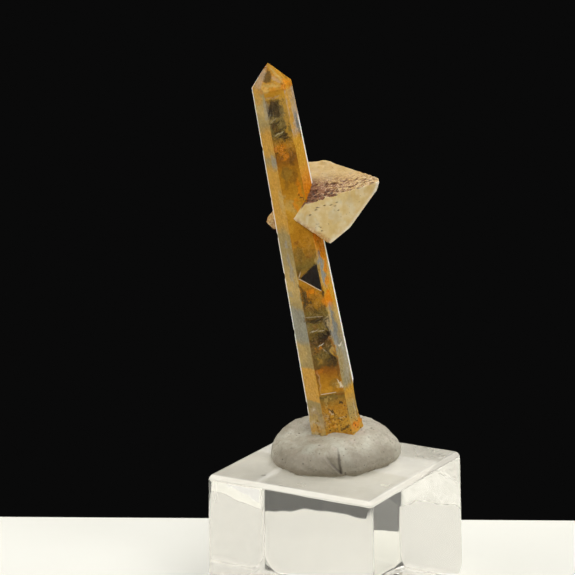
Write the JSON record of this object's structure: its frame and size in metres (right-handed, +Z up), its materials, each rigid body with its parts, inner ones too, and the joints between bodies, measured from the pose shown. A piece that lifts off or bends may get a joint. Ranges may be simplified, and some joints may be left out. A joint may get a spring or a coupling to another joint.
{
  "type": "mounted quartz and adularia specimen",
  "caption": "Slender leaning quartz crystal grown through a wedge-shaped adularia crystal, its foot set in a lump of putty on a clear square block.",
  "frame": {"origin": "centre of the clear block's base", "axes": "+Z up from the base through the block; +X and +Y square to the block's sides"},
  "size_m": [0.0306, 0.0306, 0.0869],
  "materials": {
    "quartz": "vitreous, clear with an iron stain",
    "adularia": "satin, etched",
    "putty": "dull, pressed by hand",
    "acrylic": "clear, polished"
  },
  "bodies": {
    "root": {"quartz_with_adularia": "quartz", "putty": "putty", "acrylic_block": "acrylic"}
  },
  "joints": []
}
